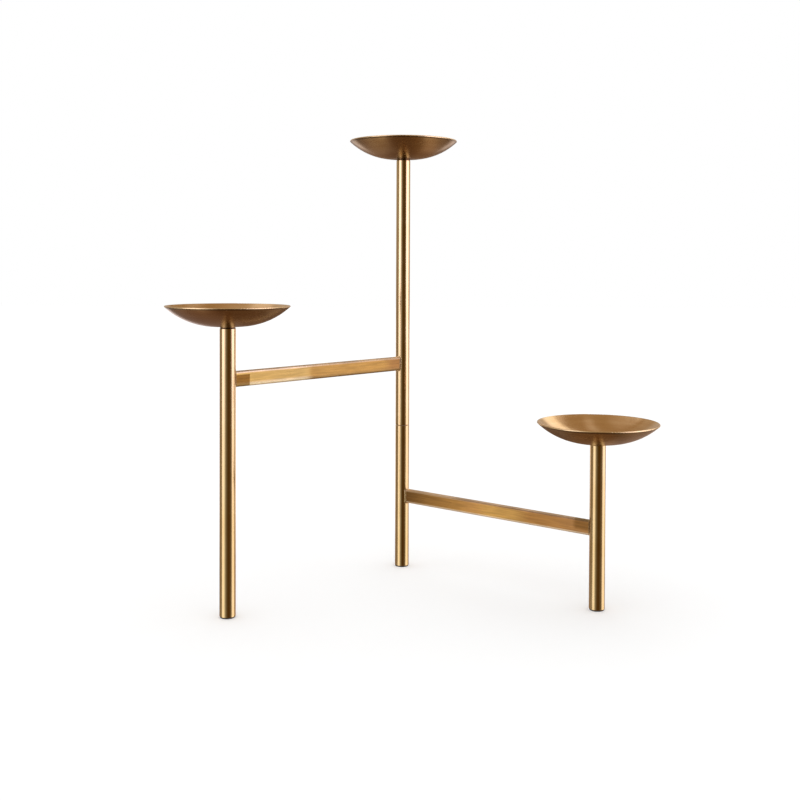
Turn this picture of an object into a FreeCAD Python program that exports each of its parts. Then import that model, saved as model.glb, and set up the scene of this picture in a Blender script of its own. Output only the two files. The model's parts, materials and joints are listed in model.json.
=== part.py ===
import FreeCAD, Part
import math
import os
import Sketcher

# Three-post brass candle stand whose upper half swivels on its lower half.
# Millimetres and degrees. The centre post stands on the origin, Z is up, and
# the two side posts stand in front of it, to the left (-X) and the right (+X).

# Driving dimensions, each set once here and held in the document's sheet.
SIZES = {
    # Heights of the dish rims above the table
    "centre_height": 400.0,
    "left_height": 251.0,
    "right_height": 155.0,
    # Dishes: spun from sheet, with a flat base round the screw
    "dish_diameter": 100.0,
    "dish_depth": 16.8,
    "dish_wall": 1.2,
    "dish_flat_margin": 4.25,
    # Posts
    "tube_diameter": 13.0,
    "tube_wall": 1.2,
    "tube_chamfer": 0.25,
    # Arms: flat bars from post axis to post axis, turned from straight ahead (-Y)
    "arm_length": 205.0,
    "arm_depth": 13.0,
    "arm_thickness": 5.0,
    "arm_edge_flat": 0.4,
    "left_bearing": 43.5,
    "right_bearing": 51.5,
    "upper_arm_height": 191.5,
    "lower_arm_height": 67.0,
    # Solder gap round everything that is let into a tube or against one
    "solder_gap": 0.05,
    # Tapped plugs in the tops of the posts, with a collar under the dish and a fine groove below it
    "plug_length": 14.0,
    "plug_chamfer": 0.4,
    "plug_proud": 1.5,
    "collar_height": 1.2,
    "collar_inset": 0.35,
    # Screws that hold the dishes down
    "screw_diameter": 6.0,
    "screw_length": 12.0,
    "screw_play": 0.05,
    "screw_hole_play": 0.2,
    "screw_head_diameter": 10.5,
    "screw_head_height": 2.8,
    "screw_head_rounding": 1.8,
    "screw_socket_width": 4.0,
    "screw_socket_depth": 1.6,
    # Feet pushed into the bottoms of the posts
    "foot_thickness": 1.0,
    "foot_inset": 0.35,
    "foot_edge": 0.3,
    "foot_plug_length": 12.0,
    "foot_plug_taper": 0.6,
    # Swivel in the centre post
    "seam_height": 133.5,
    "pin_diameter": 6.0,
    "pin_plug_length": 18.0,
    "pin_chamfer": 0.5,
    "pin_tail": 1.4,
    "bush_length": 16.0,
    "running_clearance": 0.05,
    "washer_thickness": 0.5,
    "washer_inset": 0.5,
    "washer_play": 0.2,
    "clip_thickness": 0.8,
    "clip_width": 1.6,
    "clip_gap": 2.0,
    "clip_float": 0.3,
    "groove_depth": 0.5,
    "groove_play": 0.05,
}

doc = FreeCAD.newDocument("candle_stand")
sheet = doc.addObject("Spreadsheet::Sheet", "Sizes")
for row, (alias, number) in enumerate(SIZES.items(), start=1):
    sheet.set(f"A{row}", alias)
    sheet.set(f"B{row}", str(number))
    sheet.setAlias(f"B{row}", alias)
doc.recompute()

# Sizes worked out from the sheet, written as expressions.
DISH_RADIUS = "Sizes.dish_diameter / 2"
TUBE_RADIUS = "Sizes.tube_diameter / 2"
TUBE_BORE = f"({TUBE_RADIUS} - Sizes.tube_wall)"
IN_TUBE = f"({TUBE_BORE} - Sizes.solder_gap)"
SCREW_RADIUS = "Sizes.screw_diameter / 2"
SCREW_HEAD_RADIUS = "Sizes.screw_head_diameter / 2"
DISH_HOLE = f"({SCREW_RADIUS} + Sizes.screw_hole_play)"
DISH_FLAT = f"({SCREW_HEAD_RADIUS} + Sizes.dish_flat_margin)"
PIN_RADIUS = "Sizes.pin_diameter / 2"
GROOVE_RADIUS = f"({PIN_RADIUS} - Sizes.groove_depth)"

# Heights in the centre post's swivel, from the washer's two faces outwards.
LOWER_TUBE_TOP = "(Sizes.seam_height - Sizes.washer_thickness / 2)"
UPPER_TUBE_FOOT = "(Sizes.seam_height + Sizes.washer_thickness / 2)"

# Where the posts stand.
LEFT_X = "-Sizes.arm_length * sin(Sizes.left_bearing)"
LEFT_Y = "-Sizes.arm_length * cos(Sizes.left_bearing)"
RIGHT_X = "Sizes.arm_length * sin(Sizes.right_bearing)"
RIGHT_Y = "-Sizes.arm_length * cos(Sizes.right_bearing)"
POSTS = {
    "left": (LEFT_X, LEFT_Y, "Sizes.left_height"),
    "centre": ("0", "0", "Sizes.centre_height"),
    "right": (RIGHT_X, RIGHT_Y, "Sizes.right_height"),
}

# Numbers by which a sketch knows its own axes, the ends and centre of a line or an arc, and its origin.
UP_AXIS, ACROSS_AXIS = range(-2, 0)
START, END, CENTRE = range(1, 4)
ORIGIN = (ACROSS_AXIS, START)
Z_DIRECTION = FreeCAD.Vector(0, 0, 1)


def value(expression):
    """Number that an expression stands for at the present sizes."""
    return float(sheet.evalExpression(expression))


def new_sketch(body, name, plane_role):
    """Empty sketch on one of the body's own origin planes."""
    planes = [plane for plane in body.Origin.OriginFeatures if plane.Role == plane_role]
    sketch = body.newObject("Sketcher::SketchObject", name)
    sketch.AttachmentSupport = [(planes[0], "")]
    sketch.MapMode = "FlatFace"
    return sketch


def tie(sketch, expression, kind, *where):
    """Add a dimension to a sketch and bind it to an expression."""
    index = sketch.addConstraint(Sketcher.Constraint(kind, *where, value(expression)))
    sketch.setExpression(f"Constraints[{index}]", expression)


def hold_point(sketch, line, end, across, up):
    """Fix a point of a sketch at its distances across and up from the origin."""
    if across == "0":
        sketch.addConstraint(Sketcher.Constraint("PointOnObject", line, end, UP_AXIS))
    else:
        tie(sketch, across, "DistanceX", *ORIGIN, line, end)
    if up == "0":
        sketch.addConstraint(Sketcher.Constraint("PointOnObject", line, end, ACROSS_AXIS))
    else:
        tie(sketch, up, "DistanceY", *ORIGIN, line, end)


def join(sketch, *pairs):
    """Make the points of each pair coincide."""
    for line, end, other, other_end in pairs:
        sketch.addConstraint(Sketcher.Constraint("Coincident", line, end, other, other_end))


def arc(centre, radius, start_angle, end_angle):
    """Arc that runs anticlockwise between two angles in degrees."""
    circle = Part.Circle(centre, Z_DIRECTION, radius)
    return Part.ArcOfCircle(circle, math.radians(start_angle), math.radians(end_angle))


def turn(body, sketch):
    """Revolve a sketch a whole turn about its upright axis."""
    turning = body.newObject("PartDesign::Revolution", body.Name + "_turning")
    turning.Profile = sketch
    turning.ReferenceAxis = (sketch, ["V_Axis"])
    turning.Angle = 360
    return turning


def turned_body(name, corners):
    """Body turned on a lathe, from (radius, height) corners of its half section."""
    body = doc.addObject("PartDesign::Body", name)
    sketch = new_sketch(body, name + "_section", "XZ_Plane")
    points = [FreeCAD.Vector(value(radius), value(height), 0) for radius, height in corners]
    count = len(points)
    for index in range(count):
        following = (index + 1) % count
        sketch.addGeometry(Part.LineSegment(points[index], points[following]), False)
    for index, (radius, height) in enumerate(corners):
        join(sketch, (index, END, (index + 1) % count, START))
        hold_point(sketch, index, START, radius, height)
    turn(body, sketch)
    return body


def place(body, post, up):
    """Stand a body on a post's axis, at a height that follows the sheet."""
    across, along, _ = POSTS[post]
    body.setExpression("Placement.Base.x", across)
    body.setExpression("Placement.Base.y", along)
    body.setExpression("Placement.Base.z", up)


def make_tube(name, post, foot, top):
    """Post tube from one height to another, with its two outer edges broken."""
    length = f"({top} - {foot})"
    body = turned_body(name, [
        (TUBE_BORE, "0"),
        (f"{TUBE_RADIUS} - Sizes.tube_chamfer", "0"),
        (TUBE_RADIUS, "Sizes.tube_chamfer"),
        (TUBE_RADIUS, f"{length} - Sizes.tube_chamfer"),
        (f"{TUBE_RADIUS} - Sizes.tube_chamfer", length),
        (TUBE_BORE, length),
    ])
    place(body, post, foot)


def dish_bottom(post):
    """Height of the underside of a post's dish."""
    return f"({POSTS[post][2]} - Sizes.dish_depth)"


def tube_top(post):
    """Height of the top end of a post, below the collar under its dish."""
    return f"({dish_bottom(post)} - Sizes.plug_proud)"


def make_foot(post):
    """Foot with a thin pad under the tube and a tapered plug inside it."""
    plug_top = "(Sizes.foot_thickness + Sizes.foot_plug_length)"
    pad_radius = f"({TUBE_RADIUS} - Sizes.foot_inset)"
    body = turned_body(f"{post}_foot", [
        ("0", "0"),
        (f"{pad_radius} - Sizes.foot_edge", "0"),
        (pad_radius, "Sizes.foot_edge"),
        (pad_radius, "Sizes.foot_thickness"),
        (IN_TUBE, "Sizes.foot_thickness"),
        (f"{IN_TUBE} - Sizes.foot_plug_taper", plug_top),
        ("0", plug_top),
    ])
    place(body, post, "0")


def make_plug(post):
    """Tapped plug in the top of a post, with a collar on which the dish is screwed down."""
    bore = f"({SCREW_RADIUS} + Sizes.screw_play)"
    collar_foot = "(Sizes.plug_length - Sizes.collar_height)"
    collar_radius = f"({TUBE_RADIUS} - Sizes.collar_inset)"
    body = turned_body(f"{post}_plug", [
        (bore, "0"),
        (f"{IN_TUBE} - Sizes.plug_chamfer", "0"),
        (IN_TUBE, "Sizes.plug_chamfer"),
        (IN_TUBE, collar_foot),
        (collar_radius, collar_foot),
        (collar_radius, "Sizes.plug_length"),
        (bore, "Sizes.plug_length"),
    ])
    place(body, post, f"{dish_bottom(post)} - Sizes.plug_length")


def make_screw(post):
    """Round-headed socket screw through the middle of a dish."""
    name = f"{post}_screw"
    head_top = "(Sizes.screw_length + Sizes.screw_head_height)"
    body = turned_body(name, [
        ("0", "0"),
        (SCREW_RADIUS, "0"),
        (SCREW_RADIUS, "Sizes.screw_length"),
        (SCREW_HEAD_RADIUS, "Sizes.screw_length"),
        (SCREW_HEAD_RADIUS, head_top),
        ("0", head_top),
    ])
    doc.recompute()
    turning = body.Tip
    rim = [
        f"Edge{number}"
        for number, edge in enumerate(turning.Shape.Edges, start=1)
        if edge.isClosed() and math.isclose(edge.CenterOfMass.z, value(head_top))
    ]
    rounding = body.newObject("PartDesign::Fillet", name + "_rounding")
    rounding.Base = (turning, rim)
    rounding.setExpression("Radius", "Sizes.screw_head_rounding")
    cut_socket(body, head_top)
    place(body, post, f"{dish_bottom(post)} + Sizes.dish_wall - Sizes.screw_length")


def cut_socket(body, head_top):
    """Hexagon socket sunk into the top of a screw head."""
    corner_radius = "Sizes.screw_socket_width / sqrt(3)"
    sketch = new_sketch(body, body.Name + "_hexagon", "XY_Plane")
    sketch.setExpression("AttachmentOffset.Base.z", head_top)
    corners = [
        FreeCAD.Vector(math.cos(math.pi * step / 3), math.sin(math.pi * step / 3), 0)
        for step in range(6)
    ]
    for step in range(6):
        start = corners[step] * value(corner_radius)
        end = corners[(step + 1) % 6] * value(corner_radius)
        sketch.addGeometry(Part.LineSegment(start, end), False)
    circle = Part.Circle(FreeCAD.Vector(0, 0, 0), Z_DIRECTION, value(corner_radius))
    ring = sketch.addGeometry(circle, True)
    join(sketch, (ring, CENTRE, *ORIGIN))
    tie(sketch, corner_radius, "Radius", ring)
    for step in range(6):
        join(sketch, (step, END, (step + 1) % 6, START))
        sketch.addConstraint(Sketcher.Constraint("PointOnObject", step, START, ring))
    for step in range(1, 6):
        sketch.addConstraint(Sketcher.Constraint("Equal", 0, step))
    sketch.addConstraint(Sketcher.Constraint("PointOnObject", 0, START, ACROSS_AXIS))
    doc.recompute()
    whole = body.Shape.Volume
    socket = body.newObject("PartDesign::Pocket", body.Name + "_socket")
    socket.Profile = sketch
    socket.setExpression("Length", "Sizes.screw_socket_depth")
    doc.recompute()
    if body.Shape.Volume >= whole:
        raise RuntimeError(body.Name + ": the socket cuts nothing")


def make_dish(post):
    """Shallow round dish: a flat base, sides that rise from it in one arc, and a rounded rim."""
    name = f"{post}_dish"
    body = doc.addObject("PartDesign::Body", name)
    sketch = new_sketch(body, name + "_section", "XZ_Plane")

    wall = value("Sizes.dish_wall")
    flat = value(DISH_FLAT)
    hole = value(DISH_HOLE)
    rim_across = value(DISH_RADIUS) - wall / 2
    rim_up = value("Sizes.dish_depth") - wall / 2
    # The arcs of the sides are centred above the edge of the base, so they leave it level.
    side_radius = ((rim_across - flat) ** 2 / (rim_up - wall / 2) + rim_up + wall / 2) / 2
    side_centre = FreeCAD.Vector(flat, side_radius, 0)
    rim_centre = FreeCAD.Vector(rim_across, rim_up, 0)
    rim_angle = math.degrees(math.atan2(rim_up - side_radius, rim_across - flat))

    flat_outer, outside, rim, inside, flat_inner, hole_wall = range(6)
    sketch.addGeometry([
        Part.LineSegment(FreeCAD.Vector(hole, 0, 0), FreeCAD.Vector(flat, 0, 0)),
        arc(side_centre, side_radius, -90, rim_angle),
        arc(rim_centre, wall / 2, rim_angle, rim_angle + 180),
        arc(side_centre, side_radius - wall, -90, rim_angle),
        Part.LineSegment(FreeCAD.Vector(flat, wall, 0), FreeCAD.Vector(hole, wall, 0)),
        Part.LineSegment(FreeCAD.Vector(hole, wall, 0), FreeCAD.Vector(hole, 0, 0)),
    ], False)
    join(
        sketch,
        (flat_outer, END, outside, START),
        (inside, START, flat_inner, START),
        (flat_inner, END, hole_wall, START),
        (hole_wall, END, flat_outer, START),
        (inside, CENTRE, outside, CENTRE),
    )
    sketch.addConstraint([
        Sketcher.Constraint("Vertical", flat_outer, END, outside, CENTRE),
        Sketcher.Constraint("Vertical", flat_outer, END, inside, START),
        Sketcher.Constraint("Horizontal", flat_inner),
        Sketcher.Constraint("Vertical", hole_wall),
    ])
    hold_point(sketch, flat_outer, START, DISH_HOLE, "0")
    hold_point(sketch, flat_outer, END, DISH_FLAT, "0")
    hold_point(
        sketch, rim, CENTRE,
        f"{DISH_RADIUS} - Sizes.dish_wall / 2",
        "Sizes.dish_depth - Sizes.dish_wall / 2",
    )
    tie(sketch, "Sizes.dish_wall / 2", "Radius", rim)
    sketch.addConstraint([
        Sketcher.Constraint("Tangent", outside, END, rim, START),
        Sketcher.Constraint("Tangent", rim, END, inside, END),
    ])
    turn(body, sketch)
    place(body, post, dish_bottom(post))


def make_arm(name, turn_angle, height):
    """Flat bar between two posts, its ends hollowed to the tubes and its edges rounded."""
    body = doc.addObject("PartDesign::Body", name)
    sketch = new_sketch(body, name + "_plan", "XY_Plane")
    end_radius = f"({TUBE_RADIUS} + Sizes.solder_gap)"

    radius = value(end_radius)
    length = value("Sizes.arm_length")
    half = value("Sizes.arm_thickness") / 2
    reach = math.sqrt(radius ** 2 - half ** 2)
    angle = math.degrees(math.asin(half / radius))
    near_axis = FreeCAD.Vector(0, 0, 0)
    far_axis = FreeCAD.Vector(length, 0, 0)

    front, far_end, back, near_end = range(4)
    sketch.addGeometry([
        Part.LineSegment(FreeCAD.Vector(reach, -half, 0), FreeCAD.Vector(length - reach, -half, 0)),
        arc(far_axis, radius, 180 - angle, 180 + angle),
        Part.LineSegment(FreeCAD.Vector(length - reach, half, 0), FreeCAD.Vector(reach, half, 0)),
        arc(near_axis, radius, -angle, angle),
    ], False)
    join(
        sketch,
        (front, END, far_end, END),
        (far_end, START, back, START),
        (back, END, near_end, END),
        (near_end, START, front, START),
        (near_end, CENTRE, *ORIGIN),
    )
    sketch.addConstraint([
        Sketcher.Constraint("Horizontal", front),
        Sketcher.Constraint("Horizontal", back),
        Sketcher.Constraint("Vertical", front, START, back, END),
        Sketcher.Constraint("Equal", near_end, far_end),
    ])
    hold_point(sketch, far_end, CENTRE, "Sizes.arm_length", "0")
    tie(sketch, end_radius, "Radius", near_end)
    tie(sketch, "Sizes.arm_thickness", "DistanceY", front, START, back, END)

    bar = body.newObject("PartDesign::Pad", name + "_bar")
    bar.Profile = sketch
    bar.SideType = "Symmetric"
    bar.setExpression("Length", "Sizes.arm_depth")
    doc.recompute()
    long_edges = [
        f"Edge{number}"
        for number, edge in enumerate(bar.Shape.Edges, start=1)
        if edge.BoundBox.XLength > length / 2
    ]
    rounding = body.newObject("PartDesign::Fillet", name + "_rounding")
    rounding.Base = (bar, long_edges)
    rounding.setExpression("Radius", "(Sizes.arm_thickness - Sizes.arm_edge_flat) / 2")

    body.Placement = FreeCAD.Placement(FreeCAD.Vector(0, 0, 0), Z_DIRECTION, value(turn_angle))
    body.setExpression("Placement.Rotation.Angle", turn_angle)
    body.setExpression("Placement.Base.z", height)


def make_swivel():
    """Pin, thrust washer, bush and clip that join the two halves of the centre post."""
    plug_top = "Sizes.pin_plug_length"
    washer_top = f"({plug_top} + Sizes.washer_thickness)"
    groove_foot = f"({washer_top} + Sizes.bush_length + Sizes.clip_float - Sizes.groove_play)"
    groove_top = f"({groove_foot} + Sizes.clip_thickness + 2 * Sizes.groove_play)"
    pin_top = f"({groove_top} + Sizes.pin_tail)"
    pin_foot = f"({LOWER_TUBE_TOP} - {plug_top})"
    pin = turned_body("swivel_pin", [
        ("0", "0"),
        (f"{IN_TUBE} - Sizes.plug_chamfer", "0"),
        (IN_TUBE, "Sizes.plug_chamfer"),
        (IN_TUBE, plug_top),
        (PIN_RADIUS, plug_top),
        (PIN_RADIUS, groove_foot),
        (GROOVE_RADIUS, groove_foot),
        (GROOVE_RADIUS, groove_top),
        (PIN_RADIUS, groove_top),
        (PIN_RADIUS, f"{pin_top} - Sizes.pin_chamfer"),
        (f"{PIN_RADIUS} - Sizes.pin_chamfer", pin_top),
        ("0", pin_top),
    ])
    place(pin, "centre", pin_foot)

    washer_bore = f"({PIN_RADIUS} + Sizes.washer_play)"
    washer_edge = f"({TUBE_RADIUS} - Sizes.washer_inset)"
    washer = turned_body("swivel_washer", [
        (washer_bore, "0"),
        (washer_edge, "0"),
        (washer_edge, "Sizes.washer_thickness"),
        (washer_bore, "Sizes.washer_thickness"),
    ])
    place(washer, "centre", LOWER_TUBE_TOP)

    bush_bore = f"({PIN_RADIUS} + Sizes.running_clearance)"
    bush = turned_body("swivel_bush", [
        (bush_bore, "0"),
        (IN_TUBE, "0"),
        (IN_TUBE, "Sizes.bush_length - Sizes.plug_chamfer"),
        (f"{IN_TUBE} - Sizes.plug_chamfer", "Sizes.bush_length"),
        (bush_bore, "Sizes.bush_length"),
    ])
    place(bush, "centre", UPPER_TUBE_FOOT)
    make_clip(f"{UPPER_TUBE_FOOT} + Sizes.bush_length + Sizes.clip_float")


def make_clip(height):
    """Split ring that sits in the pin's groove, above the bush."""
    name = "swivel_clip"
    body = doc.addObject("PartDesign::Body", name)
    sketch = new_sketch(body, name + "_plan", "XY_Plane")
    bore = f"({GROOVE_RADIUS} + Sizes.groove_play)"
    edge = f"({bore} + Sizes.clip_width)"

    middle = FreeCAD.Vector(0, 0, 0)
    half_gap = value("Sizes.clip_gap") / 2
    edge_radius = value(edge)
    bore_radius = value(bore)
    edge_reach = math.sqrt(edge_radius ** 2 - half_gap ** 2)
    bore_reach = math.sqrt(bore_radius ** 2 - half_gap ** 2)
    edge_angle = math.degrees(math.asin(half_gap / edge_radius))
    bore_angle = math.degrees(math.asin(half_gap / bore_radius))
    edge_low = FreeCAD.Vector(edge_reach, -half_gap, 0)
    bore_low = FreeCAD.Vector(bore_reach, -half_gap, 0)
    bore_high = FreeCAD.Vector(bore_reach, half_gap, 0)
    edge_high = FreeCAD.Vector(edge_reach, half_gap, 0)

    outside, lower_end, inside, upper_end = range(4)
    sketch.addGeometry([
        arc(middle, edge_radius, edge_angle, 360 - edge_angle),
        Part.LineSegment(edge_low, bore_low),
        arc(middle, bore_radius, bore_angle, 360 - bore_angle),
        Part.LineSegment(bore_high, edge_high),
    ], False)
    join(
        sketch,
        (outside, END, lower_end, START),
        (lower_end, END, inside, END),
        (inside, START, upper_end, START),
        (upper_end, END, outside, START),
        (outside, CENTRE, *ORIGIN),
        (inside, CENTRE, *ORIGIN),
    )
    sketch.addConstraint([
        Sketcher.Constraint("Horizontal", lower_end),
        Sketcher.Constraint("Horizontal", upper_end),
        Sketcher.Constraint("Symmetric", outside, START, outside, END, ACROSS_AXIS),
    ])
    tie(sketch, edge, "Radius", outside)
    tie(sketch, bore, "Radius", inside)
    tie(sketch, "Sizes.clip_gap", "DistanceY", outside, END, outside, START)
    ring = body.newObject("PartDesign::Pad", name + "_ring")
    ring.Profile = sketch
    ring.setExpression("Length", "Sizes.clip_thickness")
    place(body, "centre", height)


# Lower half: lower centre tube, lower arm and right post.
make_tube("lower_tube", "centre", "Sizes.foot_thickness", LOWER_TUBE_TOP)
make_arm("lower_arm", "Sizes.right_bearing - 90", "Sizes.lower_arm_height")
make_tube("right_tube", "right", "Sizes.foot_thickness", tube_top("right"))

# Upper half: upper centre tube, upper arm and left post.
make_tube("upper_tube", "centre", UPPER_TUBE_FOOT, tube_top("centre"))
make_arm("upper_arm", "270 - Sizes.left_bearing", "Sizes.upper_arm_height")
make_tube("left_tube", "left", "Sizes.foot_thickness", tube_top("left"))

make_swivel()
for post_name in POSTS:
    make_foot(post_name)
    make_plug(post_name)
    make_dish(post_name)
    make_screw(post_name)
doc.recompute()

broken = [item.Label for item in doc.Objects if {"Invalid", "Error"} & set(item.State)]
if broken:
    raise RuntimeError("these did not build: " + ", ".join(broken))
bodies = [item for item in doc.Objects if item.TypeId == "PartDesign::Body"]
for body in bodies:
    if body.Shape.isNull() or not body.Shape.isValid() or len(body.Shape.Solids) != 1:
        raise RuntimeError(body.Label + " is not one sound solid")

os.makedirs("parts", exist_ok=True)
for body in bodies:
    body.Shape.exportStep(f"parts/{body.Label}.step")
    print(f"{body.Label}: {body.Shape.Volume:.1f} mm3")
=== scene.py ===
import json
import math

import bpy
from mathutils import Matrix, Vector


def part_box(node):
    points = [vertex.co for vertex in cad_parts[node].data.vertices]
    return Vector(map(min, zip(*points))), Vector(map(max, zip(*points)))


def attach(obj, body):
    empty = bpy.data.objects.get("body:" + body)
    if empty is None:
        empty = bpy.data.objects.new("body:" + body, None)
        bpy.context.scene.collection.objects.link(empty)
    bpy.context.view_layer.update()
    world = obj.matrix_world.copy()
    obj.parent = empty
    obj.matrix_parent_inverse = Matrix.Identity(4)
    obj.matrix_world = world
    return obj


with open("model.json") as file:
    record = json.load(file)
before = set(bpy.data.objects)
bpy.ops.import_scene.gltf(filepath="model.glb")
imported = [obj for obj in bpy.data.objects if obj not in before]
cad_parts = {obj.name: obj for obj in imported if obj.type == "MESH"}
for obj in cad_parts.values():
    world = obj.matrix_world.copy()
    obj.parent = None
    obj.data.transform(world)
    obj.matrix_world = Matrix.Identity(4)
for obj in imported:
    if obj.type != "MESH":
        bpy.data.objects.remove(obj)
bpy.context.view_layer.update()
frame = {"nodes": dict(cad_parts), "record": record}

# Brass candle stand in a small studio: the camera, the cards that its metal mirrors, the finish of
# every piece and the solder round its bars. Metres and degrees; a bearing is turned from the
# camera's side (-Y) towards +X. A pair of heights, distances or slopes marks where a change starts
# and ends.

# The camera; its focal length and its level line are in pixels of a square picture, and the viewing
# distance is measured from about the middle of the stand
PICTURE_PIXELS = 800
FOCAL_PIXELS = 1067.5
LEVEL_ROW = 286.1
SENSOR_WIDTH = 36.0
CAMERA_PLACE = (-0.00635, -1.00354, 0.28496)
CAMERA_YAW = -0.207
CAMERA_PITCH = 1.197
CAMERA_ROLL = 0.232
CAMERA_NEAREST = 0.01
VIEWING_DISTANCE = 1.0

# The studio, round the middle of the stand; its wall stands nearer on the camera's side
STUDIO_CENTRE = Vector((0.01, -0.09, 0.0))
STUDIO_RADIUS = 2.0
FRONT_RADIUS = 1.15
FRONT_SPREAD = 35.0
WALL_FOOT = -1.6
WALL_TOP = 1.9
WALL_COLUMNS = 180
WALL_ROWS = 24
FLOOR_SIZE = 12.0
FLOOR_COLOUR = (0.94, 0.94, 0.94)
FLOOR_GLOW = 0.12
WORLD_LIGHT = 1.0
WHITE = (1.0, 1.0, 1.0)

# The wall that the metal mirrors, as (bearing, colour) in four bands from its foot up, and the
# heights over which each band turns into the next
DARK = (0.085, 0.042, 0.008)
DUSK = (0.236, 0.132, 0.076)
WARM_LEFT = (0.400, 0.285, 0.235)
WARM_RIGHT = (0.510, 0.345, 0.265)
PALE = (1.40, 1.40, 1.40)
ROOM_FOOT = [
    (-180, DUSK), (-174, DUSK), (-167, WARM_LEFT), (-128, WARM_LEFT), (-112, PALE),
    (-70, PALE), (-40, (0.40, 0.35, 0.30)), (0, DARK), (35, DARK), (78, PALE),
    (108, PALE), (125, WARM_RIGHT), (162, WARM_RIGHT), (169, DUSK), (180, DUSK),
]
ROOM_LOW = [
    (-180, DUSK), (-174, DUSK), (-167, WARM_LEFT), (-125, (0.26, 0.21, 0.17)), (-45, (0.28, 0.25, 0.20)),
    (-17, (0.20, 0.17, 0.13)), (-5, (0.11, 0.075, 0.035)), (8, DARK), (28, DARK), (45, (0.14, 0.11, 0.07)),
    (91, (0.55, 0.46, 0.38)), (130, (0.40, 0.30, 0.23)), (162, WARM_RIGHT), (169, DUSK), (180, DUSK),
]
ROOM_LEVEL = [
    (-180, (0.50, 0.43, 0.38)), (-150, (0.52, 0.45, 0.39)), (-125, (0.38, 0.33, 0.28)),
    (-85, (0.30, 0.25, 0.20)), (-45, (0.30, 0.27, 0.23)), (-17, (0.20, 0.17, 0.13)),
    (-5, (0.11, 0.075, 0.035)), (8, DARK), (28, DARK), (45, (0.14, 0.11, 0.07)),
    (60, (0.40, 0.34, 0.28)), (91, (0.72, 0.62, 0.52)), (130, (0.56, 0.49, 0.43)),
    (155, (0.56, 0.48, 0.42)), (180, (0.50, 0.43, 0.38)),
]
ROOM_HIGH = [
    (-180, (0.38, 0.28, 0.20)), (-165, (0.46, 0.36, 0.28)), (-143, (0.56, 0.50, 0.48)),
    (-95, (0.56, 0.44, 0.34)), (-40, (0.50, 0.40, 0.30)), (0, (0.35, 0.27, 0.20)),
    (60, (0.60, 0.50, 0.40)), (100, (1.10, 1.05, 1.00)), (138, (1.40, 1.34, 1.36)),
    (147, (1.40, 1.34, 1.36)), (158, (0.38, 0.27, 0.17)), (180, (0.38, 0.28, 0.20)),
]
FOOT_TO_LOW = (-1.0, -0.75)
LOW_TO_LEVEL = (0.05, 0.42)
LEVEL_TO_HIGH = (0.80, 1.15)

# The two softboxes on the wall, as (bearing, share of their light); they are brighter and cooler
# above than below, and the right one leans
LEFT_SOFTBOX = [(-180, 0.0), (-79, 0.0), (-74, 1.0), (-47, 1.0), (-37, 0.35), (-20, 0.0), (180, 0.0)]
LEFT_LIGHT_LOW = (0.96, 0.94, 0.94)
LEFT_LIGHT_HIGH = (1.58, 1.54, 2.12)
LEFT_LIGHT_RISE = (-0.38, 0.34)
RIGHT_SOFTBOX = [(-180, 0.0), (51, 0.0), (58, 1.0), (98, 1.0), (112, 0.0), (180, 0.0)]
RIGHT_LIGHT_LOW = (0.76, 0.75, 0.78)
RIGHT_LIGHT_HIGH = (1.46, 1.34, 1.97)
RIGHT_LIGHT_RISE = (-0.48, 0.25)
RIGHT_SOFTBOX_LEAN = 11.0
LEAN_HEIGHTS = (0.30, -0.10)
SOFTBOX_FOOT = (-1.6, -0.5)

# Two light strips on the wall behind the stand, for its far sides
BACK_STRIPS = [
    (-180, 0.0), (-166, 0.0), (-161, 1.0), (-147, 1.0), (-141, 0.0),
    (141, 0.0), (147, 1.0), (161, 1.0), (166, 0.0), (180, 0.0),
]
BACK_LIGHT = (0.90, 0.87, 0.90)
BACK_FOOT = (-0.55, -0.35)
BACK_TOP = (0.20, 0.05)

# The ceiling, darker towards the back, and the panels there, as (distance from the middle, share)
CEILING_FRONT = (0.62, 0.52, 0.42)
CEILING_BACK = (0.38, 0.265, 0.165)
CEILING_TURN = (-0.60, -0.05)
PANEL_LIGHT = (0.50, 0.55, 0.70)
PANEL_ACROSS = [
    (-1.65, 0.0), (-1.45, 1.0), (-0.95, 1.0), (-0.60, 0.35), (-0.15, 0.25), (0.05, 0.0),
    (0.32, 0.0), (0.44, 0.45), (0.54, 0.45), (0.66, 0.0), (1.15, 0.0), (1.45, 0.7), (1.60, 0.7),
]
PANEL_ALONG = [(0.05, 0.0), (0.30, 1.0), (1.30, 1.0), (1.55, 0.0)]

# The table, with a dark wedge that narrows towards the back, its tones given in half-widths of the
# wedge from its middle line, and a light patch at either side
WEDGE_TONES = [(-1.28, WARM_LEFT), (-0.80, DUSK), (0.80, DUSK), (1.28, WARM_RIGHT)]
WEDGE_REACH = 2.0
WEDGE_MIDDLE = 0.2
WEDGE_HALF_WIDTH = 0.75
WEDGE_TAPER = 0.22
TABLE_LIGHT = (0.75, 0.74, 0.76)
TABLE_ACROSS = [
    (-1.75, 0.0), (-1.45, 1.0), (-1.0, 1.0), (-0.75, 0.0),
    (0.75, 0.0), (1.0, 1.0), (1.45, 1.0), (1.75, 0.0),
]
TABLE_ALONG = [(-0.75, 0.0), (-0.45, 1.0), (0.15, 1.0), (0.45, 0.0)]

# Shared by the finishes: the span of most values of a noise, the span for worn spots, the detail of
# fine and of cloudy noise, and the depth of relief at full strength
NOISE_SPAN = (0.3, 0.7)
WORN_SPAN = (0.35, 0.75)
FINE_DETAIL = 2.0
CLOUD_DETAIL = 3.0
RELIEF_DEPTH = 0.0001

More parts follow.
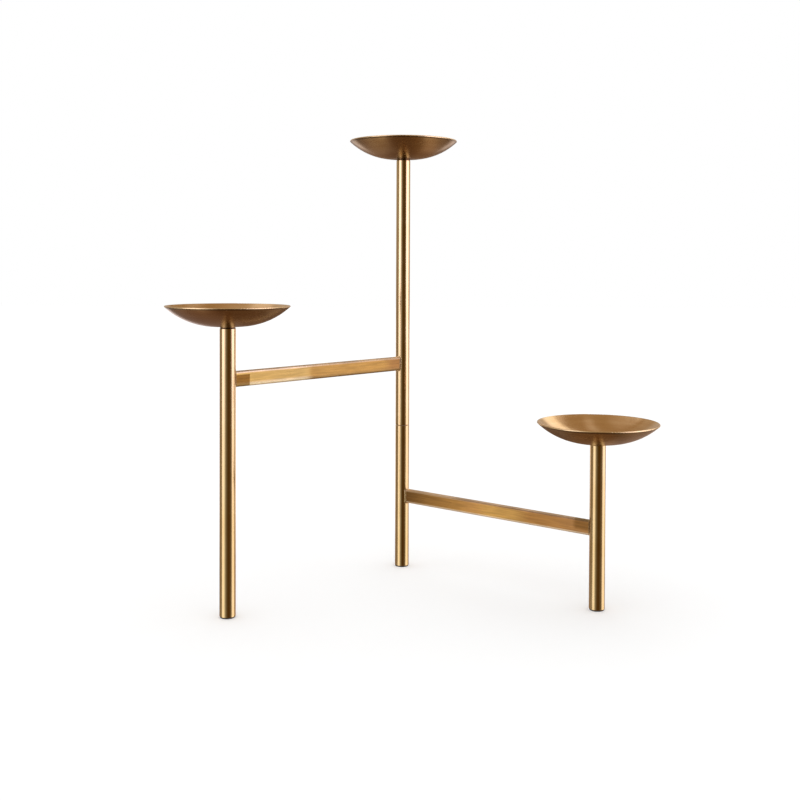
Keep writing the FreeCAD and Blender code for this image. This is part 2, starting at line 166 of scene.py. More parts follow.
# Tubes. In every finish, textures are per metre, relief is a strength, and stretch is how far the
# highlights are drawn out
TUBE_BRASS = (0.83, 0.62, 0.33)
TUBE_BRASS_DEEP = (0.80, 0.58, 0.29)
TUBE_BUFFING = (60.0, 60.0, 2200.0)
TUBE_CLOUDS = 55.0
TUBE_ROUGHNESS = (0.13, 0.17)
TUBE_SMUDGES = 0.05
TUBE_RELIEF = 0.012
TUBE_STRETCH = 0.4

# Dishes: their brass, the duller underside with painted shade round the collar, and the burnished rim
# with the painted shaded line under its lip
DISH_BRASS = (0.80, 0.55, 0.27)
DISH_BRASS_DEEP = (0.73, 0.47, 0.21)
DISH_TONE_SPAN = (0.32, 0.66)
DISH_FINE_RINGS = 2400.0
DISH_BROAD_RINGS = 320.0
DISH_CLOUDS = 60.0
DISH_CLOUD_SHARE = 0.7
DISH_ROUGHNESS = (0.18, 0.23)
DISH_CLOUD_ROUGHNESS = 0.03
DISH_RELIEF = 0.04
DISH_STRETCH = 0.6
FACING_DOWN = (0.1, -0.1)
UNDERSIDE_TINT = 0.46
UNDERSIDE_ROUGHNESS = 0.04
# Painted shade on the underside towards the collar, between these distances from the axis
COLLAR_SHADE = (0.0065, 0.0200)
COLLAR_SHADE_TINT = 0.70
DISH_RIM = (0.0486, 0.0490)
RIM_ROUGHNESS = 0.06
LIP_TURN = (-0.70, -0.50)
LIP_SHADE = (0.17, 0.11, 0.050)

# Painted reflections and painted shade on the underside of each dish, as (distance from its axis
# towards +X, tint of its brass)
LIT_TINT = (1.36, 1.38, 1.28)
EVEN = (1.0, 0.97, 0.95)
SHADED_TINT = (0.80, 0.80, 0.74)
SHADED_RED_TINT = (0.80, 0.64, 0.50)
SHADED_BROWN_TINT = (0.62, 0.55, 0.36)
PAINTED_LIGHT_REACH = 0.050
UNDERSIDE_PAINTED_LIGHT = {
    "left": [(-0.003, SHADED_RED_TINT), (0.011, EVEN), (0.027, EVEN), (0.035, SHADED_TINT)],
    "centre": [
        (-0.047, SHADED_BROWN_TINT), (-0.038, EVEN), (-0.026, LIT_TINT), (-0.022, LIT_TINT), (-0.009, EVEN),
        (0.002, EVEN), (0.014, LIT_TINT), (0.024, LIT_TINT), (0.036, SHADED_TINT), (0.042, SHADED_BROWN_TINT),
    ],
    "right": [(-0.036, SHADED_TINT), (-0.018, LIT_TINT), (-0.001, LIT_TINT), (0.012, SHADED_BROWN_TINT), (0.024, SHADED_TINT)],
}

# Bars: painted reflections and shade along their faces, as (share of the way from the middle post, colour)
BAR_PAINTED_LIGHT = {
    "upper_arm": [
        (0.0, (0.29, 0.14, 0.035)), (0.07, (0.30, 0.15, 0.037)), (0.15, (0.39, 0.22, 0.048)),
        (0.56, (0.38, 0.22, 0.052)), (0.60, (0.49, 0.33, 0.097)), (1.0, (0.52, 0.34, 0.088)),
    ],
    "lower_arm": [
        (0.0, (0.19, 0.090, 0.020)), (0.20, (0.34, 0.17, 0.040)), (0.30, (0.41, 0.21, 0.050)),
        (0.40, (0.52, 0.27, 0.075)), (0.50, (0.57, 0.33, 0.086)), (0.60, (0.51, 0.29, 0.075)),
        (0.70, (0.33, 0.16, 0.040)), (1.0, (0.34, 0.17, 0.053)),
    ],
}
# Painted highlights and shade along the bars' top and bottom edges, by the same share
BAR_TOP_EDGE_LIGHT = {
    "upper_arm": [
        (0.0, (0.40, 0.29, 0.17)), (0.55, (0.40, 0.29, 0.17)),
        (0.62, (0.66, 0.51, 0.35)), (1.0, (0.66, 0.51, 0.35)),
    ],
    "lower_arm": [
        (0.0, (0.60, 0.43, 0.23)), (0.25, (0.50, 0.36, 0.19)), (0.45, (0.40, 0.26, 0.13)),
        (0.60, (0.28, 0.165, 0.07)), (1.0, (0.20, 0.115, 0.045)),
    ],
}
BAR_BOTTOM_EDGE_LIGHT = {
    "upper_arm": [
        (0.0, (0.26, 0.15, 0.05)), (0.55, (0.26, 0.15, 0.05)),
        (0.62, (0.86, 0.74, 0.48)), (1.0, (0.86, 0.74, 0.48)),
    ],
    "lower_arm": [(0.0, (0.66, 0.50, 0.30)), (0.30, (0.82, 0.68, 0.46)), (1.0, (0.82, 0.68, 0.46))],
}
TOP_EDGE_FADE = (0.0040, 0.0056)
BOTTOM_EDGE_FADE = {"upper_arm": (0.0020, 0.0060), "lower_arm": (0.0040, 0.0056)}
# Painted highlight on each bar's upward-facing crest, over this span of the upward part of its normal
BAR_CREST = (0.50, 0.80)
BAR_CREST_HIGHLIGHT = (0.80, 0.62, 0.40)
BAR_METALLIC = 0.85

# Bars: textures along and up the bar, what they do to the tone, and the darker tint of a band by the outer
# end
BAR_STROKES = (45.0, 2600.0)
BAR_GRAIN = (34.0, 620.0)
BAR_GRAIN_TINT = (0.84, 1.12)
BAR_PATCHES = (60.0, 190.0)
BAR_PATCH_TINT = (0.92, 1.04)
BAR_ROUGHNESS = (0.26, 0.31)
BAR_PATCH_ROUGHNESS = 0.04
BAR_RELIEF = 0.03
BAR_STRETCH = 0.6
OUTER_BAND_LENGTH = 0.0140
OUTER_END_TINT = {"upper_arm": (0.41, 0.30, 0.15), "lower_arm": (0.58, 0.54, 0.38)}
OUTER_BAND_EDGE = {"upper_arm": 0.0005, "lower_arm": 0.0025}
OUTER_BAND_HEIGHTS = {"upper_arm": (-0.0080, 0.0030), "lower_arm": (-0.0035, 0.0080)}

# Small turned parts, the plugs' collars in painted shade, and the painted shadow of the groove below them
TURNED_BRASS = (0.62, 0.38, 0.15)
TURNED_BRASS_DEEP = (0.50, 0.29, 0.09)
STEEL = (0.60, 0.59, 0.57)
STEEL_DULL = (0.48, 0.47, 0.45)
TURNED_RINGS = 3200.0
TURNED_CLOUDS = 300.0
TURNED_RELIEF = 0.08
TURNED_SPREAD = 0.08
SCREW_ROUGHNESS = 0.24
BUSH_ROUGHNESS = 0.30
STEEL_ROUGHNESS = 0.25
# Collars darkened with painted shade, and the painted shadow in their groove
SHADED_COLLAR_BRASS = (0.33, 0.20, 0.085)
SHADED_COLLAR_BRASS_DEEP = (0.26, 0.15, 0.06)
COLLAR_ROUGHNESS = (0.30, 0.38)
GROOVE_SHADOW = (0.030, 0.017, 0.008)
SEAM_BELOW_DISH = (0.0011, 0.0007)

# Rubber and nylon
RUBBER = (0.035, 0.030, 0.025)
RUBBER_WORN = (0.060, 0.054, 0.048)
RUBBER_ROUGHNESS = 0.62
RUBBER_GRAIN = 2500.0
NYLON = (0.060, 0.045, 0.030)
NYLON_WORN = (0.085, 0.066, 0.046)
NYLON_ROUGHNESS = 0.45
NYLON_GRAIN = 3000.0
DULL_CLOUDS_PER_GRAIN = 1 / 6
DULL_RELIEF = 0.25
DULL_SPREAD = 0.12

# The bars' section, and the solder where a bar meets a tube
BAR_THICKNESS = 0.005
BAR_EDGE_RADIUS = 0.0023
SOLDER_LEG = 0.0009
SOLDER_SUNK = 0.0004
SOLDER_CORNER_STEPS = 6
SOLDER_FACE_STEPS = 4
SOLDER_LUMPS = 900.0
SOLDER_ROUGHNESS = (0.20, 0.30)
SOLDER_RELIEF = 0.2

# Each bar's inner and outer tube
ARMS = {
    "upper_arm": ("upper_tube", "left_tube"),
    "lower_arm": ("lower_tube", "right_tube"),
}
POSTS = ("left", "centre", "right")


def axis_of(node):
    """Point on the table under the middle of a node."""
    low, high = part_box(node)
    return Vector(((low[0] + high[0]) / 2, (low[1] + high[1]) / 2, 0.0))


def half_way_up(node):
    """Height of a node's middle, as an upright vector."""
    low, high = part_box(node)
    return Vector((0.0, 0.0, (low[2] + high[2]) / 2))


def radius_of(tube):
    low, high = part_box(tube)
    return (high[0] - low[0]) / 2


class Graph:
    """Shorthand for building a node tree."""

    def __init__(self, tree):
        self.tree = tree
        tree.nodes.clear()

    def node(self, kind, links=None, **settings):
        """Add a node, set its properties and feed its inputs with values or other nodes' outputs."""
        made = self.tree.nodes.new(kind)
        for name, setting in settings.items():
            setattr(made, name, setting)
        for socket, source in (links or {}).items():
            if isinstance(source, bpy.types.NodeSocket):
                self.tree.links.new(source, made.inputs[socket])
            else:
                made.inputs[socket].default_value = source
        return made

    def maths(self, operation, first, second=0.0, third=0.0):
        return self.node("ShaderNodeMath", {0: first, 1: second, 2: third}, operation=operation).outputs[0]

    def vector(self, operation, first, second):
        """Operation on two vectors, which gives a vector, or a number for a dot product."""
        made = self.node("ShaderNodeVectorMath", {0: first, 1: second}, operation=operation)
        return made.outputs["Value" if operation == "DOT_PRODUCT" else "Vector"]

    def length(self, vector):
        return self.node("ShaderNodeVectorMath", {0: vector}, operation="LENGTH").outputs["Value"]

    def scaled(self, vector, factor):
        made = self.node("ShaderNodeVectorMath", {0: vector, "Scale": factor}, operation="SCALE")
        return made.outputs["Vector"]

    def level(self, vector):
        """The vector without its upward part."""
        return self.vector("MULTIPLY", vector, (1.0, 1.0, 0.0))

    def part(self, vector, axis):
        """Part of a vector along the X, Y or Z axis."""
        return self.node("ShaderNodeSeparateXYZ", {0: vector}).outputs[axis]

    def share(self, distance, reach):
        """Distance from the middle as a share of the whole reach, 0 at one end and 1 at the other."""
        return self.maths("MULTIPLY_ADD", distance, 0.5 / reach, 0.5)

    def in_world(self, direction):
        """Direction on the piece, turned with the piece into the world."""
        made = self.node(
            "ShaderNodeVectorTransform", {0: direction},
            vector_type="VECTOR", convert_from="OBJECT", convert_to="WORLD",
        )
        return made.outputs[0]

    def place(self):
        return self.node("ShaderNodeTexCoord").outputs["Object"]

    def normal(self):
        return self.node("ShaderNodeNewGeometry").outputs["True Normal"]

    def ramp(self, factor, stops):
        """Ramp through (position, grey or colour) stops."""
        made = self.node("ShaderNodeValToRGB", {0: factor})
        made.color_ramp.interpolation = "EASE"
        elements = made.color_ramp.elements
        while len(elements) < len(stops):
            elements.new(1.0)
        for element, (position, colour) in zip(elements, stops):
            element.position = position
            element.color = (*colour, 1.0) if isinstance(colour, tuple) else (colour, colour, colour, 1.0)
        return made.outputs[0]

    def span(self, source, low, high, to_low=0.0, to_high=1.0):
        """Smooth step from one value to another as the source goes from low to high."""
        links = {"Value": source, "From Min": low, "From Max": high, "To Min": to_low, "To Max": to_high}
        return self.node("ShaderNodeMapRange", links, interpolation_type="SMOOTHSTEP").outputs[0]

    def mix(self, share, first, second):
        """Colour that goes from the first to the second as the share goes from 0 to 1."""
        made = self.node("ShaderNodeMix", data_type="RGBA")
        for socket, source in (("Factor", share), ("A", first), ("B", second)):
            inputs = [entry for entry in made.inputs if entry.name == socket and entry.enabled]
            if isinstance(source, bpy.types.NodeSocket):
                self.tree.links.new(source, inputs[0])
            else:
                inputs[0].default_value = (*source, 1.0)
        return [entry for entry in made.outputs if entry.enabled][0]

    def noise(self, vector, scale, detail):
        made = self.node("ShaderNodeTexNoise", {"Vector": vector, "Scale": scale, "Detail": detail})
        return made.outputs["Fac"]

    def rings(self, radius, scale):
        """Noise that changes with the distance from an axis only."""
        links = {"W": radius, "Scale": scale, "Detail": FINE_DETAIL}
        return self.node("ShaderNodeTexNoise", links, noise_dimensions="1D").outputs["Fac"]

    def spread(self, noise, low, high):
        """Numbers from low to high over the usual values of a noise."""
        return self.span(noise, *NOISE_SPAN, low, high)

    def tones(self, noise, deep, pale):
        """Greys or colours from deep to pale over the usual values of a noise."""
        return self.ramp(noise, list(zip(NOISE_SPAN, (deep, pale))))

    def relief(self, height, strength):
        links = {"Height": height, "Strength": strength, "Distance": RELIEF_DEPTH}
        return self.node("ShaderNodeBump", links).outputs[0]

    def surface(self, shader):
        self.node("ShaderNodeOutputMaterial", {"Surface": shader.outputs[0]})


def new_material(name):
    material = bpy.data.materials.new(name)
    material.use_nodes = True
    return material, Graph(material.node_tree)


def make_camera():
    data = bpy.data.cameras.new("camera")
    data.sensor_fit = "HORIZONTAL"
    data.sensor_width = SENSOR_WIDTH
    data.lens = FOCAL_PIXELS / PICTURE_PIXELS * SENSOR_WIDTH
    data.shift_y = (LEVEL_ROW - PICTURE_PIXELS / 2) / PICTURE_PIXELS
    data.clip_start = CAMERA_NEAREST
    camera = bpy.data.objects.new("camera", data)
    camera.matrix_world = (
        Matrix.Translation(CAMERA_PLACE)
        @ Matrix.Rotation(math.radians(CAMERA_YAW), 4, "Z")
        @ Matrix.Rotation(math.radians(90 - CAMERA_PITCH), 4, "X")
        @ Matrix.Rotation(math.radians(CAMERA_ROLL), 4, "Z")
    )
    bpy.context.scene.collection.objects.link(camera)
    bpy.context.scene.camera = camera


def make_world():
    world = bpy.data.worlds.new("studio")
    bpy.context.scene.world = world
    world.use_nodes = True
    graph = Graph(world.node_tree)
    light = graph.node("ShaderNodeBackground", {"Color": (*WHITE, 1.0), "Strength": WORLD_LIGHT})
    graph.node("ShaderNodeOutputWorld", {"Surface": light.outputs[0]})


def seen_rays(graph):
    """1 for rays from the camera, a mirror or glass, 0 for rays that only light things."""
    path = graph.node("ShaderNodeLightPath")
    seen = graph.maths("MAXIMUM", path.outputs["Is Camera Ray"], path.outputs["Is Glossy Ray"])
    return graph.maths("MAXIMUM", seen, path.outputs["Is Transmission Ray"])


def make_floor():
    """Pale floor that keeps the stand's shadow; the metal looks past it to the studio's cards."""
    bpy.ops.mesh.primitive_plane_add(size=FLOOR_SIZE, location=STUDIO_CENTRE)
    floor = bpy.context.object
    floor.name = "floor"
    material, graph = new_material("floor")
    matt = graph.node("ShaderNodeBsdfDiffuse", {"Color": (*FLOOR_COLOUR, 1.0)})
    strength = graph.maths("MULTIPLY", seen_rays(graph), FLOOR_GLOW)
    glow = graph.node("ShaderNodeEmission", {"Strength": strength})
    graph.surface(graph.node("ShaderNodeAddShader", {0: matt.outputs[0], 1: glow.outputs[0]}))
    floor.data.materials.append(material)
    floor.visible_glossy = False


def mirrored_card(name, vertices, faces, uvs, colour):
    """Card that only mirrors see; its light is made from the place on the card, 0 to 1 both ways."""
    mesh = bpy.data.meshes.new(name)
    mesh.from_pydata(vertices, [], faces)
    layer = mesh.uv_layers.new(name="card")
    for loop in mesh.loops:
        layer.data[loop.index].uv = uvs[loop.vertex_index]
    card = bpy.data.objects.new(name, mesh)
    bpy.context.scene.collection.objects.link(card)
    card.visible_camera = False
    card.visible_diffuse = False
    card.visible_shadow = False
    material, graph = new_material(name)
    place = graph.node("ShaderNodeSeparateXYZ", {0: graph.node("ShaderNodeUVMap", uv_map="card").outputs[0]})
    graph.surface(graph.node("ShaderNodeEmission", {"Color": colour(graph, place), "Strength": 1.0}))
    mesh.materials.append(material)


def round_wall(stops):
    """Stops by bearing as stops from 0 to 1 round the wall."""
    return [((bearing + 180) / 360, colour) for bearing, colour in stops]


def over(stops, reach=STUDIO_RADIUS):
    """Stops by distance either side of the middle as stops from 0 to 1 across the whole reach."""
    return [(0.5 + distance / (2 * reach), colour) for distance, colour in stops]


def wall_colour(graph, place):
    """Light of the studio wall: the bands of the room, and on top the softboxes and back strips."""
    across = place.outputs["X"]
    height = graph.maths("MULTIPLY_ADD", place.outputs["Y"], WALL_TOP - WALL_FOOT, WALL_FOOT)
    light = graph.ramp(across, round_wall(ROOM_FOOT))
    for rise, stops in ((FOOT_TO_LOW, ROOM_LOW), (LOW_TO_LEVEL, ROOM_LEVEL), (LEVEL_TO_HIGH, ROOM_HIGH)):
        light = graph.mix(graph.span(height, *rise), light, graph.ramp(across, round_wall(stops)))
    lean = graph.span(height, *LEAN_HEIGHTS, 0.0, RIGHT_SOFTBOX_LEAN / 360)
    leaning = graph.maths("SUBTRACT", across, lean)
    foot = graph.span(height, *SOFTBOX_FOOT)
    for position, stops, low, high, rise in (
        (across, LEFT_SOFTBOX, LEFT_LIGHT_LOW, LEFT_LIGHT_HIGH, LEFT_LIGHT_RISE),
        (leaning, RIGHT_SOFTBOX, RIGHT_LIGHT_LOW, RIGHT_LIGHT_HIGH, RIGHT_LIGHT_RISE),
    ):
        box_light = graph.mix(graph.span(height, *rise), low, high)
        box = graph.vector("MULTIPLY", graph.ramp(position, round_wall(stops)), box_light)
        light = graph.vector("ADD", light, graph.scaled(box, foot))
    strips = graph.vector("MULTIPLY", graph.ramp(across, round_wall(BACK_STRIPS)), BACK_LIGHT)
    lit_height = graph.maths("MULTIPLY", graph.span(height, *BACK_FOOT), graph.span(height, *BACK_TOP))
    return graph.vector("ADD", light, graph.scaled(strips, lit_height))


def patches(graph, place, across, along, light):
    """Light patches on a level card, from their shares across and along it."""
    shares_across = graph.ramp(place.outputs["X"], over(across))
    shares_along = graph.ramp(place.outputs["Y"], over(along))
    return graph.vector("MULTIPLY", graph.vector("MULTIPLY", shares_across, shares_along), light)


def ceiling_colour(graph, place):
    ceiling = graph.ramp(place.outputs["Y"], over(zip(CEILING_TURN, (CEILING_FRONT, CEILING_BACK))))
    return graph.vector("ADD", patches(graph, place, PANEL_ACROSS, PANEL_ALONG, PANEL_LIGHT), ceiling)


def table_colour(graph, place):
    width = 2 * STUDIO_RADIUS
    across = graph.maths("MULTIPLY_ADD", place.outputs["X"], width, -STUDIO_RADIUS - WEDGE_MIDDLE)
    along = graph.maths("MULTIPLY_ADD", place.outputs["Y"], width, -STUDIO_RADIUS)
    half_width = graph.maths("MULTIPLY_ADD", along, -WEDGE_TAPER, WEDGE_HALF_WIDTH)
    share = graph.share(graph.maths("DIVIDE", across, half_width), WEDGE_REACH)
    wedge = graph.ramp(share, over(WEDGE_TONES, WEDGE_REACH))
    return graph.vector("ADD", wedge, patches(graph, place, TABLE_ACROSS, TABLE_ALONG, TABLE_LIGHT))


def wall_radius(bearing):
    """The wall is round and near in front of the stand, and runs out straight to the far wall."""
    turned = max(0.0, abs(bearing) - math.radians(FRONT_SPREAD))
    if math.cos(turned) * STUDIO_RADIUS <= FRONT_RADIUS:
        return STUDIO_RADIUS
    return FRONT_RADIUS / math.cos(turned)


def make_studio():
    """Wall, ceiling and table. Where the wall is nearer, its heights shrink towards the camera's level."""
    eye_level = CAMERA_PLACE[2]
    vertices = []
    uvs = []
    for row in range(WALL_ROWS + 1):
        for column in range(WALL_COLUMNS + 1):
            share = column / WALL_COLUMNS
            bearing = math.radians(360 * share - 180)
            radius = wall_radius(bearing)
            place = STUDIO_CENTRE + radius * Vector((math.sin(bearing), -math.cos(bearing), 0.0))
            height = WALL_FOOT + row / WALL_ROWS * (WALL_TOP - WALL_FOOT)
            nearness = (VIEWING_DISTANCE + radius) / (VIEWING_DISTANCE + STUDIO_RADIUS)
            place.z = eye_level + nearness * (height - eye_level)
            vertices.append(place)
            uvs.append((share, row / WALL_ROWS))
    width = WALL_COLUMNS + 1
    faces = []
    for row in range(WALL_ROWS):
        for column in range(WALL_COLUMNS):
            corner = row * width + column
            faces.append((corner, corner + 1, corner + width + 1, corner + width))
    mirrored_card("studio_wall", vertices, faces, uvs, wall_colour)

    reach = STUDIO_RADIUS
    corners = [(-reach, -reach), (reach, -reach), (reach, reach), (-reach, reach)]
    uvs = [(0, 0), (1, 0), (1, 1), (0, 1)]
    for name, height, colour in (("ceiling", WALL_TOP, ceiling_colour), ("table", WALL_FOOT, table_colour)):
        vertices = [STUDIO_CENTRE + Vector((x, y, height)) for x, y in corners]
        mirrored_card(name, vertices, [(0, 1, 2, 3)], uvs, colour)


def metal(graph, colour, roughness, height, relief, stretch=0.0, along=None, metallic=1.0):
    """Metal whose highlights are drawn out along a direction, with fine relief from a height."""
    links = {
        "Base Color": colour,
        "Metallic": metallic,
        "Roughness": roughness,
        "Anisotropic": stretch,
        "Normal": graph.relief(height, relief),
    }
    if along is not None:
        links["Tangent"] = along
    graph.surface(graph.node("ShaderNodeBsdfPrincipled", links))


def tube_brass():
    """Polished tube: buffed round and round, with the faintest clouds in the colour."""
    material, graph = new_material("tube_brass")
    place = graph.place()
    buffing = graph.noise(graph.vector("MULTIPLY", place, TUBE_BUFFING), 1.0, FINE_DETAIL)
    clouds = graph.noise(place, TUBE_CLOUDS, CLOUD_DETAIL)
    colour = graph.tones(clouds, TUBE_BRASS_DEEP, TUBE_BRASS)
    smudges = graph.span(clouds, *WORN_SPAN, 0.0, TUBE_SMUDGES)
    roughness = graph.maths("ADD", graph.spread(buffing, *TUBE_ROUGHNESS), smudges)
    upright = graph.node("ShaderNodeCombineXYZ", {"Z": 1.0}).outputs[0]
    metal(graph, colour, roughness, buffing, TUBE_RELIEF, TUBE_STRETCH, upright)
    return material


def painted_bar_light(graph, arm, share, up, facing):
    """Painted reflections along a bar, with painted highlights and shade on its edges and crest."""
    down = graph.maths("MULTIPLY", up, -1.0)
    tone = graph.ramp(share, BAR_PAINTED_LIGHT[arm])
    for edge, stops in (
        (graph.span(up, *TOP_EDGE_FADE), BAR_TOP_EDGE_LIGHT[arm]),
        (graph.span(down, *BOTTOM_EDGE_FADE[arm]), BAR_BOTTOM_EDGE_LIGHT[arm]),
    ):
        tone = graph.mix(edge, tone, graph.ramp(share, stops))
    return graph.mix(graph.span(facing, *BAR_CREST), tone, BAR_CREST_HIGHLIGHT)


def outer_band_share(graph, arm, along, up, band_from):
    """1 in the band by a bar's outer end that is tinted darker, 0 elsewhere."""
    edge = OUTER_BAND_EDGE[arm]
    band_low, band_high = OUTER_BAND_HEIGHTS[arm]
    by_end = graph.span(along, band_from - edge, band_from + edge)
    below_top = graph.span(up, band_high + edge, band_high)
    above_foot = graph.span(up, band_low, band_low + edge)
    return graph.maths("MULTIPLY", by_end, graph.maths("MULTIPLY", below_top, above_foot))


def bar_brass(arm, inner, outer):
    """Flat bar, brushed along its length, with painted reflections along it, darker by its outer end."""
    material, graph = new_material(f"{arm}_brass")
    line = axis_of(outer) - axis_of(inner)
    place = graph.vector("SUBTRACT", graph.place(), axis_of(inner) + half_way_up(arm))
    along = graph.vector("DOT_PRODUCT", place, line.normalized())
    up = graph.part(place, "Z")

    def streaks(per_metre, detail):
        per_metre_along, per_metre_up = per_metre
        drawn_out = graph.node("ShaderNodeCombineXYZ", {
            "X": graph.maths("MULTIPLY", along, per_metre_along),
            "Y": graph.maths("MULTIPLY", up, per_metre_up),
        })
        return graph.noise(drawn_out.outputs[0], 1.0, detail)

    strokes = streaks(BAR_STROKES, FINE_DETAIL)
    grain = streaks(BAR_GRAIN, CLOUD_DETAIL)
    patchy = streaks(BAR_PATCHES, CLOUD_DETAIL)
    normal = graph.normal()
    share = graph.maths("DIVIDE", along, line.length)
    # Painted reflections along the bar, and painted highlights and shade on its edges and crest
    colour = painted_bar_light(graph, arm, share, up, graph.part(normal, "Z"))
    colour = graph.vector("MULTIPLY", colour, graph.tones(patchy, *BAR_PATCH_TINT))
    colour = graph.vector("MULTIPLY", colour, graph.tones(grain, *BAR_GRAIN_TINT))
    outer_band = outer_band_share(graph, arm, along, up, line.length - radius_of(outer) - OUTER_BAND_LENGTH)
    colour = graph.mix(outer_band, colour, graph.vector("MULTIPLY", colour, OUTER_END_TINT[arm]))
    dull_patches = graph.spread(patchy, BAR_PATCH_ROUGHNESS, 0.0)
    roughness = graph.maths("ADD", graph.spread(strokes, *BAR_ROUGHNESS), dull_patches)
    crosswise = graph.vector("CROSS_PRODUCT", normal, graph.in_world(line.normalized()))
    metal(graph, colour, roughness, strokes, BAR_RELIEF, BAR_STRETCH, crosswise, BAR_METALLIC)
    return material


def from_axis_of(graph, node):
    """Place on a piece, from the foot of its own axis."""
    return graph.vector("SUBTRACT", graph.place(), axis_of(node))


def underside_brass(graph, post, brass, place, radius):
    """Duller underside brass with painted reflections across it and painted shade, darkest by the collar."""
    # Painted reflections and shade across the underside
    across = graph.share(graph.part(place, "X"), PAINTED_LIGHT_REACH)
    painted_tint = graph.ramp(across, over(UNDERSIDE_PAINTED_LIGHT[post], PAINTED_LIGHT_REACH))
    painted_underside = graph.vector("MULTIPLY", graph.scaled(brass, UNDERSIDE_TINT), painted_tint)
    # Painted shade, darkest by the collar
    return graph.scaled(painted_underside, graph.span(radius, *COLLAR_SHADE, COLLAR_SHADE_TINT, 1.0))


def dish_brass(post):
    """Spun dish: fine rings round its middle, a bright inside and rim, and a duller underside."""
    material, graph = new_material(f"{post}_dish_brass")
    place = from_axis_of(graph, f"{post}_dish")
    outward = graph.level(place)
    radius = graph.length(outward)
    fine_rings = graph.rings(radius, DISH_FINE_RINGS)
    broad_rings = graph.rings(radius, DISH_BROAD_RINGS)
    clouds = graph.noise(place, DISH_CLOUDS, CLOUD_DETAIL)
    ring_part = graph.maths("MULTIPLY", broad_rings, 1.0 - DISH_CLOUD_SHARE)
    shade = graph.maths("MULTIPLY_ADD", clouds, DISH_CLOUD_SHARE, ring_part)
    colour = graph.ramp(shade, list(zip(DISH_TONE_SPAN, (DISH_BRASS_DEEP, DISH_BRASS))))
    facing = graph.part(graph.normal(), "Z")
    facing_down = graph.span(facing, *FACING_DOWN)
    colour = graph.mix(facing_down, colour, underside_brass(graph, post, colour, place, radius))
    at_rim = graph.span(radius, *DISH_RIM)
    lip = graph.mix(graph.span(facing, *LIP_TURN), LIP_SHADE, TUBE_BRASS)
    colour = graph.mix(at_rim, colour, lip)
    dull_clouds = graph.spread(clouds, DISH_CLOUD_ROUGHNESS, 0.0)
    roughness = graph.maths("ADD", graph.spread(fine_rings, *DISH_ROUGHNESS), dull_clouds)
    roughness = graph.maths("MULTIPLY_ADD", facing_down, UNDERSIDE_ROUGHNESS, roughness)
    roughness = graph.maths("MULTIPLY_ADD", at_rim, RIM_ROUGHNESS, roughness)
    metal(graph, colour, roughness, fine_rings, DISH_RELIEF, DISH_STRETCH, graph.in_world(outward))
    return material


def turned_metal(name, node, pale, deep, roughness):
    """Small part turned on a lathe: rings round its own axis."""
    material, graph = new_material(name)
    place = from_axis_of(graph, node)
    rings = graph.rings(graph.length(graph.level(place)), TURNED_RINGS)
    clouds = graph.noise(place, TURNED_CLOUDS, CLOUD_DETAIL)
    colour = graph.tones(clouds, deep, pale)
    metal(graph, colour, graph.spread(rings, roughness, roughness + TURNED_SPREAD), rings, TURNED_RELIEF)
    return material


def collar_brass(post):
    """Plug collar under the dish: painted shade on its brass, painted shadow in the groove above the tube.
    """
    material, graph = new_material(f"{post}_collar_brass")
    place = from_axis_of(graph, f"{post}_plug")
    clouds = graph.noise(place, TURNED_CLOUDS, CLOUD_DETAIL)
    painted_tint = graph.tones(clouds, SHADED_COLLAR_BRASS_DEEP, SHADED_COLLAR_BRASS)
    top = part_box(f"{post}_plug")[1][2]
    seam_low, seam_high = (top - below for below in SEAM_BELOW_DISH)
    above_seam = graph.span(graph.part(place, "Z"), seam_low, seam_high)
    # Painted shadow in the groove below the seam, painted shade on the collar above it
    colour = graph.mix(above_seam, GROOVE_SHADOW, painted_tint)
    metal(graph, colour, graph.spread(clouds, *COLLAR_ROUGHNESS), clouds, TURNED_RELIEF)
    return material


def dull_finish(name, pale, deep, roughness, grain):
    """Rubber or plastic with a fine grain and worn, paler spots."""
    material, graph = new_material(name)
    place = graph.place()
    clouds = graph.noise(place, grain * DULL_CLOUDS_PER_GRAIN, CLOUD_DETAIL)
    specks = graph.noise(place, grain, FINE_DETAIL)
    graph.surface(graph.node("ShaderNodeBsdfPrincipled", {
        "Base Color": graph.ramp(clouds, list(zip(WORN_SPAN, (deep, pale)))),
        "Roughness": graph.spread(specks, roughness, roughness + DULL_SPREAD),
        "Normal": graph.relief(specks, DULL_RELIEF),
    }))
    return material


def solder_brass():
    """Lumpy solder, in the tubes' brass but rougher."""
    material, graph = new_material("solder_brass")
    lumps = graph.noise(graph.place(), SOLDER_LUMPS, CLOUD_DETAIL)
    colour = graph.tones(lumps, TUBE_BRASS_DEEP, TUBE_BRASS)
    metal(graph, colour, graph.spread(lumps, *SOLDER_ROUGHNESS), lumps, SOLDER_RELIEF)
    return material


def bar_outline(depth):
    """(across, up, outward across, outward up) round a bar's section, anticlockwise."""
    half = BAR_THICKNESS / 2
    points = []
    corners = [(1, 1, 0), (-1, 1, 90), (-1, -1, 180), (1, -1, 270)]
    for side, rise, first_angle in corners:
        for step in range(SOLDER_CORNER_STEPS + 1):
            angle = math.radians(first_angle + 90 * step / SOLDER_CORNER_STEPS)
            out_across = math.cos(angle)
            out_up = math.sin(angle)
            across = side * (half - BAR_EDGE_RADIUS) + BAR_EDGE_RADIUS * out_across
            up = rise * (depth / 2 - BAR_EDGE_RADIUS) + BAR_EDGE_RADIUS * out_up
            points.append((across, up, out_across, out_up))
    return points


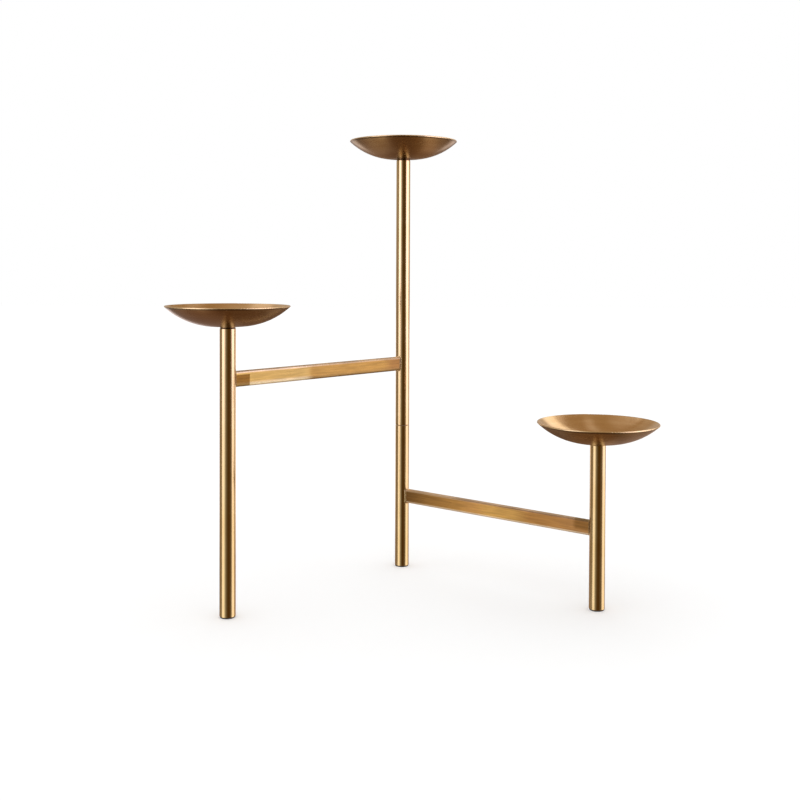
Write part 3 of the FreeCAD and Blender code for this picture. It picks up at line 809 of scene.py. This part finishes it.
def solder_bead(name, arm, tube, other_tube, body, material):
    """Hollow-faced bead round the end of a bar, from the tube's surface to the bar's."""
    low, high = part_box(arm)
    tube_radius = radius_of(tube)
    middle = axis_of(tube) + half_way_up(arm)
    outwards = (axis_of(other_tube) - axis_of(tube)).normalized()
    sideways = Vector((0.0, 0.0, 1.0)).cross(outwards)

    def on_tube(across, up, lift=0.0):
        reach = math.sqrt(tube_radius ** 2 - across ** 2) + lift
        return middle + outwards * reach + sideways * across + Vector((0.0, 0.0, up))

    vertices = []
    outline = bar_outline(high[2] - low[2])
    for across, up, out_across, out_up in outline:
        corner = on_tube(across, up)
        tube_toe = on_tube(across + SOLDER_LEG * out_across, up + SOLDER_LEG * out_up)
        bar_toe = on_tube(across, up, SOLDER_LEG)
        for step in range(SOLDER_FACE_STEPS + 1):
            share = step / SOLDER_FACE_STEPS
            vertices.append(
                (1 - share) ** 2 * tube_toe + 2 * share * (1 - share) * corner + share ** 2 * bar_toe
            )
        vertices.append(on_tube(across - SOLDER_SUNK * out_across, up - SOLDER_SUNK * out_up, -SOLDER_SUNK))
    ring = SOLDER_FACE_STEPS + 2
    faces = []
    for place in range(len(outline)):
        following = (place + 1) % len(outline)
        for step in range(ring):
            beside = (step + 1) % ring
            faces.append((
                place * ring + step, following * ring + step,
                following * ring + beside, place * ring + beside,
            ))
    mesh = bpy.data.meshes.new(name)
    mesh.from_pydata(vertices, [], faces)
    mesh.materials.append(material)
    for face in mesh.polygons:
        face.use_smooth = True
    bead = bpy.data.objects.new(name, mesh)
    bpy.context.scene.collection.objects.link(bead)
    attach(bead, body)


def make_solder():
    material = solder_brass()
    bodies = frame["record"]["behaviour"]["bodies"]
    for arm, (inner, outer) in ARMS.items():
        body = next(name for name, nodes in bodies.items() if arm in nodes)
        solder_bead(f"{arm}_inner_solder", arm, inner, outer, body, material)
        solder_bead(f"{arm}_outer_solder", arm, outer, inner, body, material)


def dress(node, material):
    frame["nodes"][node].material_slots[0].material = material


def dress_stand():
    tube = tube_brass()
    for node in ("lower_tube", "upper_tube", "left_tube", "right_tube"):
        dress(node, tube)
    for arm, (inner, outer) in ARMS.items():
        dress(arm, bar_brass(arm, inner, outer))
    rubber = dull_finish("foot_rubber", RUBBER_WORN, RUBBER, RUBBER_ROUGHNESS, RUBBER_GRAIN)
    for post in POSTS:
        screw = f"{post}_screw"
        dress(f"{post}_dish", dish_brass(post))
        dress(screw, turned_metal(f"{screw}_brass", screw, TURNED_BRASS, TURNED_BRASS_DEEP, SCREW_ROUGHNESS))
        dress(f"{post}_plug", collar_brass(post))
        dress(f"{post}_foot", rubber)
    bush = turned_metal("bush_brass", "swivel_bush", TURNED_BRASS, TURNED_BRASS_DEEP, BUSH_ROUGHNESS)
    steel = turned_metal("pin_steel", "swivel_pin", STEEL, STEEL_DULL, STEEL_ROUGHNESS)
    dress("swivel_bush", bush)
    dress("swivel_pin", steel)
    dress("swivel_clip", steel)
    dress("swivel_washer", dull_finish("washer_nylon", NYLON_WORN, NYLON, NYLON_ROUGHNESS, NYLON_GRAIN))


bpy.context.scene.view_settings.view_transform = "Standard"
make_camera()
make_world()
make_floor()
make_studio()
dress_stand()
make_solder()
